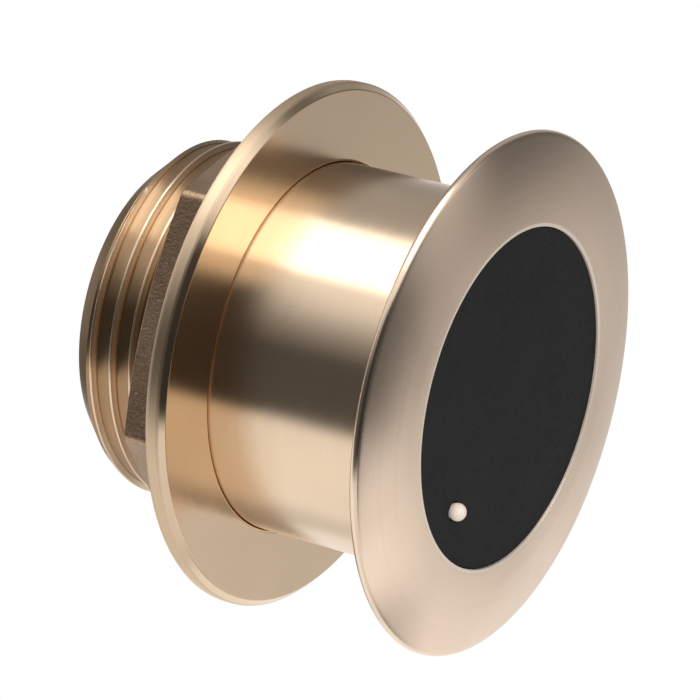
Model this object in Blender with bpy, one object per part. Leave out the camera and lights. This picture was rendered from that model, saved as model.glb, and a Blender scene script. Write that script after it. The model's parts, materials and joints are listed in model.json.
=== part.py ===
"""Bronze thru-hull sonar transducer with a tilted ceramic element.

A flanged and threaded housing holds a black acoustic face, a temperature probe, the ceramic and its
transformer, all potted in. A hull washer and a hull nut on the stem clamp it to a boat's hull.

The origin is on the stem's axis, at the height of the probe's tip, which stands proud of the face. +Z
runs up the stem. Heights below are measured from the plane of the lip round the face. All lengths are
in metres.
"""
import math

import bmesh
import bpy
from mathutils import Matrix, Vector

# Clearance between pieces that touch, and the number of sides of turned pieces
FIT_GAP = 0.0003
LARGE_SIDES = 64
MEDIUM_SIDES = 32
SMALL_SIDES = 24
PROBE_SIDES = 16
WIRE_SIDES = 8

# How far cutters reach past what they cut
OVERCUT = 0.0010

# Housing: flange
FLANGE_RADIUS = 0.04184
RIM_ROUND = 0.0008
RIM_SETBACK = 0.00305
LIP_WIDTH = 0.0005
DOME_START_SLOPE = math.radians(2.5)
FLANGE_BACK = RIM_SETBACK + RIM_ROUND

# Housing: stem
STEM_RADIUS = 0.0300
STEM_FILLET = 0.0010
STEM_LENGTH = 0.0646
STEM_EDGE = 0.0003

# Thread of the stem and of the nut
THREAD_PITCH = 0.0037
THREAD_STEP = 0.0007
THREAD_RADIUS = STEM_RADIUS - THREAD_STEP
THREAD_DEPTH = 0.0011
THREAD_CREST = 0.0004
THREAD_FLANK_ANGLE = math.radians(25)
THREAD_CREST_HEIGHT = 0.05675
THREAD_CLEARANCE = 0.00035
THREAD_RELIEF_WIDTH = 0.0016
THREAD_ROOT_RADIUS = THREAD_RADIUS - THREAD_DEPTH

# Housing: bores; the window's wall is measured from the smooth stem, the rear wall from the thread's root
WINDOW_WALL = 0.00275
REAR_WALL = 0.0047
WINDOW_BORE_RADIUS = STEM_RADIUS - WINDOW_WALL
REAR_BORE_RADIUS = THREAD_ROOT_RADIUS - REAR_WALL
REAR_MOUTH_CHAMFER = 0.0005
REAR_END_WIDTH = 0.0014
REAR_CHAMFER_ANGLE = math.radians(41.5)
BORE_STEP_HEIGHT = 0.0290

# Hull washer
WASHER_HEIGHT = 0.0365
WASHER_THICKNESS = 0.0034
WASHER_WIDTH = 0.0124
WASHER_CHAMFER = 0.0011
WASHER_EDGE = 0.0002
WASHER_BORE_CLEARANCE = 0.0003
WASHER_BORE_RADIUS = STEM_RADIUS + WASHER_BORE_CLEARANCE
WASHER_RADIUS = WASHER_BORE_RADIUS + WASHER_WIDTH

# Hull nut
NUT_HEIGHT = WASHER_HEIGHT + WASHER_THICKNESS + FIT_GAP
NUT_THICKNESS = 0.0079
NUT_CORNER_REACH = 0.0096
NUT_CORNER_RADIUS = THREAD_RADIUS + NUT_CORNER_REACH
NUT_CORNER_ROUND = 0.0008
NUT_CORNER_AZIMUTH = math.radians(-2.4)
NUT_CHAMFER_ANGLE = math.radians(17)
NUT_CHAMFER_INSET = 0.0006
NUT_MOUTH_CHAMFER = 0.0008

# Acoustic window
WINDOW_RECESS = 0.00035
WINDOW_CENTRE_THICKNESS = 0.0077
TILT = math.radians(12)

# Temperature probe; its azimuth is also the side that the element's back leans away from
PROBE_AZIMUTH = math.radians(205.8)
PROBE_WALL_DISTANCE = 0.00635
PROBE_OFFSET = WINDOW_BORE_RADIUS - PROBE_WALL_DISTANCE
PROBE_TIP_RADIUS = 0.00145
PROBE_TIP_COLLAR = 0.0006
PROBE_SHANK_RADIUS = 0.0020
PROBE_SHANK_LENGTH = 0.0040
PROBE_BORE_RADIUS = 0.00095
PROBE_BORE_FLOOR = 0.0014
THERMISTOR_RADIUS = 0.0006
THERMISTOR_LEAD_RADIUS = 0.00018
THERMISTOR_LEAD_SPACING = 0.0009

# Ceramic element with its cork ring and backing pad
ELEMENT_OFFSET = 0.0020
ELEMENT_WALL_DISTANCE = 0.00925
ELEMENT_RADIUS = WINDOW_BORE_RADIUS - ELEMENT_WALL_DISTANCE
ELEMENT_THICKNESS = 0.0095
ELEMENT_EDGE = 0.0003
CORK_WALL = 0.0024
BACKING_THICKNESS = 0.0040
LEAD_RADIUS = 0.0006
LEAD_SPREAD_SHARE = 0.39
LEAD_SPREAD = LEAD_SPREAD_SHARE * ELEMENT_RADIUS
LEAD_STICK_UP = 0.0010

# Circuit board and what it carries
POTTING_FRONT_TOP = 0.0312
BOARD_THICKNESS = 0.0016
PIN_RADIUS = 0.0006
PIN_HEIGHT = 0.0045
PIN_COUNT = 3
PIN_SPACING = 0.0030
PIN_WALL_DISTANCE = 0.0050
PIN_ROW_DISTANCE = REAR_BORE_RADIUS - PIN_WALL_DISTANCE
CHIP_SIZE = (0.0050, 0.0060, 0.0016)
CAPACITOR_SIZE = (0.0036, 0.0072, 0.0050)
COMPONENT_WALL_DISTANCE = 0.0070
COMPONENT_DISTANCE = REAR_BORE_RADIUS - COMPONENT_WALL_DISTANCE
CHIP_AZIMUTH = PROBE_AZIMUTH + math.radians(180)
CAPACITOR_AZIMUTH = PROBE_AZIMUTH + math.radians(235)
PIN_AZIMUTH = PROBE_AZIMUTH + math.radians(125)

# Transformer; the core takes shares of the bore and of the height between the board and the rear cap
CORE_RADIUS_SHARE = 0.47
CORE_HEIGHT_SHARE = 0.57
CORE_RADIUS = CORE_RADIUS_SHARE * REAR_BORE_RADIUS
CORE_POST_SHARE = 0.42
CORE_POST_RADIUS = CORE_POST_SHARE * CORE_RADIUS
CORE_BASE = 0.0019
CORE_WALL = 0.0018
CORE_HOLE_RADIUS = 0.0022
CORE_SLOT_WIDTH = 0.0036
BOBBIN_WALL = 0.0006
PRIMARY_SHARE = 0.32
SECONDARY_SHARE = 0.38

# Rear end: potting, cap, seal ring and cable grommet
REAR_CAP_RECESS = 0.0004
REAR_CAP_FLANGE = 0.0034
REAR_CAP_CLEARANCE = 0.0005
REAR_CAP_EDGE = 0.0003
REAR_CAP_BOSS_HEIGHT = 0.0020
REAR_CAP_BOSS_RADIUS = 0.0080
INLET_RADIUS = 0.0038
GROMMET_WALL = 0.0018
GROMMET_LENGTH = 0.0028
GROMMET_EDGE = 0.0003
SEAL_THICKNESS = 0.0014
CABLE_CHANNEL_SHARE = 0.8

# Sizes that follow from those above
BOARD_HEIGHT = POTTING_FRONT_TOP + FIT_GAP
BOARD_TOP = BOARD_HEIGHT + BOARD_THICKNESS
BOARD_RADIUS = REAR_BORE_RADIUS - FIT_GAP
CORK_INNER_RADIUS = ELEMENT_RADIUS + FIT_GAP
CORK_OUTER_RADIUS = CORK_INNER_RADIUS + CORK_WALL
STACK_HEIGHT = FIT_GAP + ELEMENT_THICKNESS + FIT_GAP + BACKING_THICKNESS
CAP_TOP = STEM_LENGTH - REAR_CAP_RECESS
CAP_FACE = CAP_TOP - REAR_CAP_BOSS_HEIGHT
CAP_BOTTOM = CAP_FACE - REAR_CAP_FLANGE
POTTING_REAR_TOP = CAP_BOTTOM - FIT_GAP
CORE_BOTTOM = BOARD_TOP + FIT_GAP
CORE_TOP = CORE_BOTTOM + CORE_HEIGHT_SHARE * (POTTING_REAR_TOP - CORE_BOTTOM)
CORE_HALF_HEIGHT = (CORE_TOP - CORE_BOTTOM - FIT_GAP) / 2
CABLE_CHANNEL_DEPTH = CABLE_CHANNEL_SHARE * (POTTING_REAR_TOP - CORE_TOP)
PROBE_TIP_CENTRE = WINDOW_RECESS - PROBE_TIP_COLLAR
PROBE_TIP_END = PROBE_TIP_CENTRE - PROBE_TIP_RADIUS
PROBE_DIRECTION = Vector((math.cos(PROBE_AZIMUTH), math.sin(PROBE_AZIMUTH), 0))


def clear_scene():
    for item in list(bpy.data.objects):
        bpy.data.objects.remove(item, do_unlink=True)


def make_lip_plane():
    """The empty that carries every piece, at the lip's height above the probe's tip."""
    lip_plane = bpy.data.objects.new("lip_plane", None)
    lip_plane.location.z = -PROBE_TIP_END
    bpy.context.scene.collection.objects.link(lip_plane)


def make_material(name, colour, roughness, metallic=0.0):
    material = bpy.data.materials.new(name)
    material.use_nodes = True
    shader = material.node_tree.nodes["Principled BSDF"]
    shader.inputs["Base Color"].default_value = (*colour, 1)
    shader.inputs["Roughness"].default_value = roughness
    shader.inputs["Metallic"].default_value = metallic
    return material


# Shapes

def arc(centre_r, centre_z, radius, start, end, steps):
    """Points of an arc in the profile plane; angles in degrees from +r towards +z."""
    angles = [math.radians(start + (end - start) * i / steps) for i in range(steps + 1)]
    return [(centre_r + radius * math.cos(a), centre_z + radius * math.sin(a)) for a in angles]


def turned(profile, sides, closed=True):
    """A profile of (radius, height) points spun once round the Z axis."""
    mesh = bmesh.new()
    points = [mesh.verts.new((r, 0, z)) for r, z in profile]
    edges = [mesh.edges.new(pair) for pair in zip(points, points[1:])]
    if closed:
        edges.append(mesh.edges.new((points[-1], points[0])))
    bmesh.ops.spin(
        mesh, geom=points + edges, cent=(0, 0, 0), axis=(0, 0, 1),
        angle=2 * math.pi, steps=sides, use_merge=True)
    bmesh.ops.remove_doubles(mesh, verts=mesh.verts, dist=1e-7)
    bmesh.ops.dissolve_degenerate(mesh, edges=mesh.edges, dist=1e-8)
    return mesh


def ring(inner, outer, bottom, top, sides):
    return turned([(inner, bottom), (outer, bottom), (outer, top), (inner, top)], sides)


def disc(radius, bottom, top, sides, edge=0.0):
    """A plain round plate or rod, with its two edges chamfered if asked."""
    if edge:
        inset = radius - edge
        side = [(inset, bottom), (radius, bottom + edge), (radius, top - edge), (inset, top)]
    else:
        side = [(radius, bottom), (radius, top)]
    return turned([(0, bottom)] + side + [(0, top)], sides, closed=False)


def block(size, centre):
    mesh = bmesh.new()
    bmesh.ops.create_cube(mesh, size=1)
    bmesh.ops.scale(mesh, vec=size, verts=mesh.verts)
    bmesh.ops.translate(mesh, vec=centre, verts=mesh.verts)
    return mesh


def tube(path, radius, sides):
    """A round wire along a list of points, with flat ends square to Z."""
    mesh = bmesh.new()
    rings = []
    for point in path:
        angles = [2 * math.pi * i / sides for i in range(sides)]
        circle = [Vector((radius * math.cos(a), radius * math.sin(a), 0)) for a in angles]
        rings.append([mesh.verts.new(point + offset) for offset in circle])
    for lower, upper in zip(rings, rings[1:]):
        for i in range(sides):
            j = (i + 1) % sides
            mesh.faces.new((lower[i], lower[j], upper[j], upper[i]))
    mesh.faces.new(list(reversed(rings[0])))
    mesh.faces.new(rings[-1])
    return mesh


def shifted_path(start, end, straight, steps=10):
    """A path that rises from start to end: straight at both ends, with a smooth sideways shift between."""
    points = [start.copy()]
    low = start.z + straight
    high = end.z - straight
    for i in range(steps + 1):
        share = i / steps
        ease = share * share * (3 - 2 * share)
        point = start.lerp(end, ease)
        point.z = low + (high - low) * share
        points.append(point)
    points.append(end.copy())
    return points


def thread_surface(mesh, start, end, grow, limit):
    """Adds a right-handed thread's surface between two heights, one column of points for each side.

    grow enlarges the form all round, for the cutter that taps the nut. limit(height, radius) shapes
    the run-in at both ends, where every column meets the same height and radius.
    """
    flank = THREAD_DEPTH * math.tan(THREAD_FLANK_ANGLE)
    half_crest = THREAD_CREST / 2 + grow * math.tan(THREAD_FLANK_ANGLE)
    half_root_gap = half_crest + flank
    form = [
        (-half_crest, THREAD_RADIUS + grow),
        (half_crest, THREAD_RADIUS + grow),
        (half_root_gap, THREAD_ROOT_RADIUS + grow),
        (THREAD_PITCH - half_root_gap, THREAD_ROOT_RADIUS + grow),
    ]
    first_turn = math.floor((start - THREAD_CREST_HEIGHT) / THREAD_PITCH) - 2
    last_turn = math.ceil((end - THREAD_CREST_HEIGHT) / THREAD_PITCH) + 2
    columns = []
    for side in range(LARGE_SIDES):
        turn_share = side / LARGE_SIDES
        angle = 2 * math.pi * turn_share
        column = []
        for turn in range(first_turn, last_turn):
            for offset, radius in form:
                height = THREAD_CREST_HEIGHT + THREAD_PITCH * (turn + turn_share) + offset
                height = min(max(height, start), end)
                reach = limit(height, radius)
                column.append(mesh.verts.new((reach * math.cos(angle), reach * math.sin(angle), height)))
        columns.append(column)
    rows = len(columns[0])
    for side, column in enumerate(columns):
        beside = columns[(side + 1) % LARGE_SIDES]
        # Once round, the helix has climbed one pitch, so the last column meets the first one a turn up
        climb = len(form) if side == LARGE_SIDES - 1 else 0
        for row in range(rows - climb - 1):
            corners = (column[row], beside[row + climb], beside[row + climb + 1], column[row + 1])
            mesh.faces.new(corners)


def helical_join(mesh):
    """Welds the thread to the rings it starts and ends on and drops the faces that have no area."""
    bmesh.ops.remove_doubles(mesh, verts=mesh.verts, dist=1e-6)
    bmesh.ops.dissolve_degenerate(mesh, edges=mesh.edges, dist=1e-7)
    bmesh.ops.recalc_face_normals(mesh, faces=mesh.faces)


# Objects

def add_object(name, mesh, material, origin=(0, 0, 0), parent=None, smooth=True):
    """Makes an object from geometry in its parent's space, which is the lip plane's where none is given."""
    bmesh.ops.translate(mesh, vec=-Vector(origin), verts=mesh.verts)
    bmesh.ops.recalc_face_normals(mesh, faces=mesh.faces)
    data = bpy.data.meshes.new(name)
    mesh.to_mesh(data)
    mesh.free()
    if smooth:
        data.shade_smooth()
        data.set_sharp_from_angle(angle=math.radians(30))
    item = bpy.data.objects.new(name, data)
    item.location = origin
    item.parent = parent or bpy.data.objects["lip_plane"]
    bpy.context.scene.collection.objects.link(item)
    if material:
        data.materials.append(material)
    return item


def boolean(target, operation, name, mesh, parent=None):
    """Leaves a Boolean on the target, with its cutter shown as wire and left out of renders."""
    cutter = add_object(name, mesh, None, parent=parent, smooth=False)
    cutter.hide_render = True
    cutter.display_type = "WIRE"
    modifier = target.modifiers.new(name, "BOOLEAN")
    modifier.operation = operation
    modifier.object = cutter
    modifier.solver = "EXACT"


# Housing

def dome_points(steps):
    """The flange's domed front, from the lip to where it runs into the rounded rim without a crease."""
    start = Vector((WINDOW_BORE_RADIUS + LIP_WIDTH, 0))
    rim_centre = Vector((FLANGE_RADIUS - RIM_ROUND, RIM_SETBACK))
    end_slope = DOME_START_SLOPE
    for _ in range(30):
        end = rim_centre + RIM_ROUND * Vector((math.sin(end_slope), -math.cos(end_slope)))
        chord = end - start
        end_slope = 2 * math.atan2(chord.y, chord.x) - DOME_START_SLOPE
    radius = chord.length / (2 * math.sin((end_slope - DOME_START_SLOPE) / 2))
    centre = start + radius * Vector((-math.sin(DOME_START_SLOPE), math.cos(DOME_START_SLOPE)))
    from_angle = math.degrees(DOME_START_SLOPE) - 90
    to_angle = math.degrees(end_slope) - 90
    dome = arc(centre.x, centre.y, radius, from_angle, to_angle, steps)
    front = arc(rim_centre.x, rim_centre.y, RIM_ROUND, to_angle, 0, 2)
    back = arc(rim_centre.x, rim_centre.y, RIM_ROUND, 0, 90, 2)
    return dome + front[1:] + back[1:]


def make_housing(material):
    smooth_stem_end = WASHER_HEIGHT + WASHER_THICKNESS / 2
    thread_start = smooth_stem_end + THREAD_RELIEF_WIDTH
    end_radius = REAR_BORE_RADIUS + REAR_END_WIDTH
    chamfer_slope = math.tan(REAR_CHAMFER_ANGLE)
    thread_end = STEM_LENGTH - (THREAD_ROOT_RADIUS - end_radius) / chamfer_slope
    profile = [
        (THREAD_ROOT_RADIUS, thread_end),
        (end_radius, STEM_LENGTH),
        (REAR_BORE_RADIUS + REAR_MOUTH_CHAMFER, STEM_LENGTH),
        (REAR_BORE_RADIUS, STEM_LENGTH - REAR_MOUTH_CHAMFER),
        (REAR_BORE_RADIUS, BORE_STEP_HEIGHT),
        (WINDOW_BORE_RADIUS, BORE_STEP_HEIGHT),
        (WINDOW_BORE_RADIUS, 0),
    ]
    profile += dome_points(5)
    profile += arc(STEM_RADIUS + STEM_FILLET, FLANGE_BACK + STEM_FILLET, STEM_FILLET, 270, 180, 2)
    profile += [
        (STEM_RADIUS, smooth_stem_end - STEM_EDGE),
        (STEM_RADIUS - STEM_EDGE, smooth_stem_end),
        (THREAD_ROOT_RADIUS, smooth_stem_end),
        (THREAD_ROOT_RADIUS, thread_start),
    ]
    mesh = turned(profile, LARGE_SIDES, closed=False)

    def run_in(height, radius):
        rise = min(height - thread_start, (thread_end - height) * chamfer_slope)
        return min(radius, THREAD_ROOT_RADIUS + rise)

    thread_surface(mesh, thread_start, thread_end, 0, run_in)
    helical_join(mesh)
    return add_object("housing", mesh, material)


# Hull washer and hull nut

def make_hull_washer(material):
    top = WASHER_HEIGHT + WASHER_THICKNESS
    profile = [
        (WASHER_BORE_RADIUS + WASHER_EDGE, WASHER_HEIGHT),
        (WASHER_RADIUS - WASHER_CHAMFER, WASHER_HEIGHT),
        (WASHER_RADIUS, WASHER_HEIGHT + WASHER_CHAMFER),
        (WASHER_RADIUS, top - WASHER_EDGE),
        (WASHER_RADIUS - WASHER_EDGE, top),
        (WASHER_BORE_RADIUS, top),
        (WASHER_BORE_RADIUS, WASHER_HEIGHT + WASHER_EDGE),
    ]
    return add_object("hull_washer", turned(profile, LARGE_SIDES), material, (0, 0, WASHER_HEIGHT))


def make_hull_nut(material):
    top = NUT_HEIGHT + NUT_THICKNESS
    blank = bmesh.new()
    turn = Matrix.Rotation(NUT_CORNER_AZIMUTH, 4, "Z")
    bmesh.ops.create_cone(
        blank, cap_ends=True, segments=6, radius1=NUT_CORNER_RADIUS, radius2=NUT_CORNER_RADIUS,
        depth=NUT_THICKNESS, matrix=Matrix.Translation((0, 0, NUT_HEIGHT + NUT_THICKNESS / 2)) @ turn)
    # Blender's cone has its first corner on +Y, so its corners lie at 30 degrees plus whole sixths
    first_corner = Matrix.Rotation(math.radians(30), 3, "Z")
    bmesh.ops.rotate(blank, verts=blank.verts, cent=(0, 0, 0), matrix=first_corner)
    uprights = [e for e in blank.edges if abs(e.verts[0].co.z - e.verts[1].co.z) > NUT_THICKNESS / 2]
    bmesh.ops.bevel(
        blank, geom=uprights, offset=NUT_CORNER_ROUND, offset_type="OFFSET",
        segments=2, profile=0.5, affect="EDGES")
    nut = add_object("hull_nut", blank, material, (0, 0, NUT_HEIGHT))

    # The cast corners are turned back to a shallow cone on the side away from the washer
    flat_radius = NUT_CORNER_RADIUS * math.cos(math.pi / 6)
    crown = flat_radius - NUT_CHAMFER_INSET
    reach = NUT_CORNER_RADIUS + 4 * OVERCUT
    low = NUT_HEIGHT - 2 * OVERCUT
    cone = [
        (0, low),
        (reach, low),
        (reach, top - (reach - crown) * math.tan(NUT_CHAMFER_ANGLE)),
        (crown, top),
        (crown - 2 * OVERCUT, top + 2 * OVERCUT),
        (0, top + 2 * OVERCUT),
    ]
    boolean(nut, "INTERSECT", "nut_corner_cone", turned(cone, LARGE_SIDES, closed=False))

    tap_start = NUT_HEIGHT - OVERCUT
    tap_end = top + OVERCUT
    mouth = THREAD_RADIUS + THREAD_CLEARANCE + NUT_MOUTH_CHAMFER + OVERCUT

    def flare(height, radius):
        from_end = min(height - tap_start, tap_end - height)
        return max(radius, mouth - from_end)

    tap = turned([(0, tap_start), (mouth, tap_start)], LARGE_SIDES, closed=False)
    lid = turned([(mouth, tap_end), (0, tap_end)], LARGE_SIDES, closed=False)
    lid_data = bpy.data.meshes.new("tap_lid")
    lid.to_mesh(lid_data)
    lid.free()
    tap.from_mesh(lid_data)
    thread_surface(tap, tap_start, tap_end, THREAD_CLEARANCE, flare)
    helical_join(tap)
    boolean(nut, "DIFFERENCE", "nut_tap", tap)
    return nut


# Acoustic window and temperature probe

def make_element_axis():
    """An empty on the window's tilted back, where the element's axis meets it."""
    axis = bpy.data.objects.new("element_axis", None)
    axis.parent = bpy.data.objects["lip_plane"]
    away = -PROBE_DIRECTION
    rise = -ELEMENT_OFFSET * math.tan(TILT)
    height = WINDOW_RECESS + WINDOW_CENTRE_THICKNESS + rise
    axis.location = away * ELEMENT_OFFSET + Vector((0, 0, height))
    tilt_about = PROBE_DIRECTION.cross(Vector((0, 0, 1)))
    axis.rotation_mode = "QUATERNION"
    axis.rotation_quaternion = Matrix.Rotation(TILT, 3, tilt_about).to_quaternion()
    bpy.context.scene.collection.objects.link(axis)
    return axis


def tilted_block(face_height, direction):
    """A cutter with one face square to the element's axis; it reaches away from that face in the direction."""
    deep = WINDOW_BORE_RADIUS
    wide = 4 * WINDOW_BORE_RADIUS
    return block((wide, wide, deep), (0, 0, face_height + direction * deep / 2))


def make_acoustic_window(material, axis):
    radius = WINDOW_BORE_RADIUS - FIT_GAP / 2
    tall = WINDOW_CENTRE_THICKNESS + radius * math.tan(TILT) + 2 * OVERCUT
    window = add_object(
        "acoustic_window", disc(radius, WINDOW_RECESS, WINDOW_RECESS + tall, LARGE_SIDES), material)
    boolean(window, "DIFFERENCE", "window_back_cut", tilted_block(0, 1), parent=axis)
    spot = PROBE_DIRECTION * PROBE_OFFSET
    hole = disc(PROBE_TIP_RADIUS + FIT_GAP / 2, -OVERCUT, tall + 2 * OVERCUT, PROBE_SIDES)
    bmesh.ops.translate(hole, vec=spot, verts=hole.verts)
    boolean(window, "DIFFERENCE", "window_probe_hole", hole)
    return window


def probe_shank_bottom():
    """Just above the window's back where that is highest under the shank."""
    reach = PROBE_OFFSET + PROBE_SHANK_RADIUS + FIT_GAP
    return WINDOW_RECESS + WINDOW_CENTRE_THICKNESS + reach * math.tan(TILT) + FIT_GAP


def make_temperature_probe(material):
    shoulder = probe_shank_bottom()
    top = shoulder + PROBE_SHANK_LENGTH
    profile = arc(0, PROBE_TIP_CENTRE, PROBE_TIP_RADIUS, -90, 0, 5)
    profile += [
        (PROBE_TIP_RADIUS, shoulder),
        (PROBE_SHANK_RADIUS, shoulder),
        (PROBE_SHANK_RADIUS, top),
        (PROBE_BORE_RADIUS, top),
        (PROBE_BORE_RADIUS, PROBE_TIP_END + PROBE_BORE_FLOOR),
        (0, PROBE_TIP_END + PROBE_BORE_FLOOR),
    ]
    mesh = turned(profile, PROBE_SIDES, closed=False)
    spot = PROBE_DIRECTION * PROBE_OFFSET
    bmesh.ops.translate(mesh, vec=spot, verts=mesh.verts)
    return add_object("temperature_probe", mesh, material, tuple(spot))


def make_thermistor(bead_material, lead_material, lead_paths):
    spot = PROBE_DIRECTION * PROBE_OFFSET
    centre = spot + Vector((0, 0, PROBE_TIP_END + PROBE_BORE_FLOOR + FIT_GAP + THERMISTOR_RADIUS))
    bead = bmesh.new()
    bmesh.ops.create_uvsphere(
        bead, u_segments=10, v_segments=6, radius=THERMISTOR_RADIUS, matrix=Matrix.Translation(centre))
    add_object("thermistor", bead, bead_material, tuple(centre))
    for letter, path in zip("ab", lead_paths):
        add_object("thermistor_lead_" + letter, tube(path, THERMISTOR_LEAD_RADIUS, 6), lead_material)


# Wire paths

def thermistor_paths():
    """Two thin wires from above the bead to holes in the board, straight above the probe's inner side."""
    spot = PROBE_DIRECTION * PROBE_OFFSET
    sideways = Vector((-PROBE_DIRECTION.y, PROBE_DIRECTION.x, 0))
    bead_top = PROBE_TIP_END + PROBE_BORE_FLOOR + 2 * FIT_GAP + 2 * THERMISTOR_RADIUS
    paths = []
    for sign in (-1, 1):
        offset = sideways * (sign * THERMISTOR_LEAD_SPACING / 2)
        start = spot + offset + Vector((0, 0, bead_top))
        end = spot + offset + Vector((0, 0, BOARD_TOP + LEAD_STICK_UP))
        paths.append([start, end])
    return paths


def element_lead_paths(axis):
    """Two wires from the ceramic's back, through the pad and the potting, to holes in the board."""
    sideways = Vector((-PROBE_DIRECTION.y, PROBE_DIRECTION.x, 0))
    normal = axis.rotation_quaternion @ Vector((0, 0, 1))
    paths = []
    for sign in (-1, 1):
        on_element = sideways * (sign * LEAD_SPREAD)
        base = axis.location + on_element + normal * (FIT_GAP + ELEMENT_THICKNESS)
        lean = (LEAD_RADIUS + FIT_GAP) * math.tan(TILT)
        start = base + Vector((0, 0, FIT_GAP + lean))
        end = on_element * 2 + Vector((0, 0, BOARD_TOP + LEAD_STICK_UP))
        paths.append(shifted_path(start, end, BACKING_THICKNESS * 1.4))
    return paths


# Element

def make_element(materials, axis, lead_paths):
    base = FIT_GAP
    top = base + ELEMENT_THICKNESS
    add_object(
        "piezo_disc", disc(ELEMENT_RADIUS, base, top, MEDIUM_SIDES, ELEMENT_EDGE),
        materials["ceramic"], parent=axis)
    add_object(
        "isolation_ring", ring(CORK_INNER_RADIUS, CORK_OUTER_RADIUS, base, top, MEDIUM_SIDES),
        materials["cork"], parent=axis)
    pad_bottom = top + FIT_GAP
    pad = add_object(
        "backing_pad", disc(CORK_OUTER_RADIUS, pad_bottom, pad_bottom + BACKING_THICKNESS, MEDIUM_SIDES),
        materials["cork"], parent=axis)
    for number, path in enumerate(lead_paths):
        boolean(pad, "DIFFERENCE", f"pad_lead_hole_{number}", lead_channel(path, LEAD_RADIUS))
    for name, path in zip(("element_lead_plus", "element_lead_minus"), lead_paths):
        add_object(name, tube(path, LEAD_RADIUS, WIRE_SIDES), materials["wire"])


def lead_channel(path, radius, sides=WIRE_SIDES):
    """The cutter for a wire's hole: the wire's own path, longer at both ends and wider by the gap."""
    longer = [point.copy() for point in path]
    longer[0].z -= OVERCUT
    longer[-1].z += OVERCUT
    return tube(longer, radius + FIT_GAP, sides)


def make_potting_front(material, axis, element_paths):
    bottom = WINDOW_RECESS
    outer = WINDOW_BORE_RADIUS - FIT_GAP
    neck = REAR_BORE_RADIUS - FIT_GAP
    shoulder = BORE_STEP_HEIGHT - FIT_GAP
    profile = [
        (0, bottom), (outer, bottom), (outer, shoulder), (neck, shoulder),
        (neck, POTTING_FRONT_TOP), (0, POTTING_FRONT_TOP),
    ]
    potting = add_object("potting_front", turned(profile, MEDIUM_SIDES, closed=False), material)
    boolean(potting, "DIFFERENCE", "potting_window_cut", tilted_block(FIT_GAP, -1), parent=axis)
    pocket = disc(CORK_OUTER_RADIUS + FIT_GAP, -OVERCUT, STACK_HEIGHT + FIT_GAP, MEDIUM_SIDES)
    boolean(potting, "DIFFERENCE", "potting_element_pocket", pocket, parent=axis)
    for number, path in enumerate(element_paths):
        boolean(potting, "DIFFERENCE", f"potting_lead_hole_{number}", lead_channel(path, LEAD_RADIUS))
    spot = PROBE_DIRECTION * PROBE_OFFSET
    shank_top = probe_shank_bottom() + PROBE_SHANK_LENGTH + FIT_GAP
    well = disc(PROBE_SHANK_RADIUS + FIT_GAP, bottom, shank_top, PROBE_SIDES)
    bmesh.ops.translate(well, vec=spot, verts=well.verts)
    boolean(potting, "DIFFERENCE", "potting_probe_well", well)
    slot_radius = THERMISTOR_LEAD_SPACING / 2 + THERMISTOR_LEAD_RADIUS + FIT_GAP
    slot = disc(slot_radius, shank_top - OVERCUT / 2, POTTING_FRONT_TOP + OVERCUT, PROBE_SIDES)
    bmesh.ops.translate(slot, vec=spot, verts=slot.verts)
    boolean(potting, "DIFFERENCE", "potting_thermistor_hole", slot)


# Circuit board and what stands on it

def component(size, azimuth, grow=0.0):
    """A component's body on the board; grow gives the pocket that the potting leaves round it."""
    width, length, height = size
    low = BOARD_TOP + FIT_GAP - 2 * grow
    high = BOARD_TOP + FIT_GAP + height + grow
    grown = (width + 2 * grow, length + 2 * grow, high - low)
    mesh = block(grown, (COMPONENT_DISTANCE, 0, (low + high) / 2))
    bmesh.ops.rotate(mesh, verts=mesh.verts, cent=(0, 0, 0), matrix=Matrix.Rotation(azimuth, 3, "Z"))
    return mesh


def pin_places():
    """The row of terminal pins, square to the line from the axis."""
    out = Vector((math.cos(PIN_AZIMUTH), math.sin(PIN_AZIMUTH), 0))
    along = Vector((-out.y, out.x, 0))
    first = -(PIN_COUNT - 1) / 2
    return [out * PIN_ROW_DISTANCE + along * (first + i) * PIN_SPACING for i in range(PIN_COUNT)]


def round_cutter(place, radius, bottom, top, sides=WIRE_SIDES):
    mesh = disc(radius, bottom, top, sides)
    bmesh.ops.translate(mesh, vec=place, verts=mesh.verts)
    return mesh


def make_board(materials, element_paths, probe_paths):
    board = add_object(
        "circuit_board", disc(BOARD_RADIUS, BOARD_HEIGHT, BOARD_TOP, SMALL_SIDES), materials["board"])
    for number, path in enumerate(element_paths):
        hole = lead_channel(path, LEAD_RADIUS)
        boolean(board, "DIFFERENCE", f"board_lead_hole_{number}", hole)
    for number, path in enumerate(probe_paths):
        hole = lead_channel(path, THERMISTOR_LEAD_RADIUS, 6)
        boolean(board, "DIFFERENCE", f"board_thermistor_hole_{number}", hole)
    for number, place in enumerate(pin_places()):
        hole = round_cutter(place, PIN_RADIUS + FIT_GAP, BOARD_HEIGHT - FIT_GAP, BOARD_TOP + FIT_GAP)
        boolean(board, "DIFFERENCE", f"board_pin_hole_{number}", hole)
        pin = round_cutter(place, PIN_RADIUS, BOARD_HEIGHT, BOARD_TOP + PIN_HEIGHT)
        add_object(f"terminal_pin_{number + 1}", pin, materials["tinned"])
    add_object("id_chip", component(CHIP_SIZE, CHIP_AZIMUTH), materials["chip"], smooth=False)
    capacitor = component(CAPACITOR_SIZE, CAPACITOR_AZIMUTH)
    add_object("tuning_capacitor", capacitor, materials["capacitor"], smooth=False)


# Transformer

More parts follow.
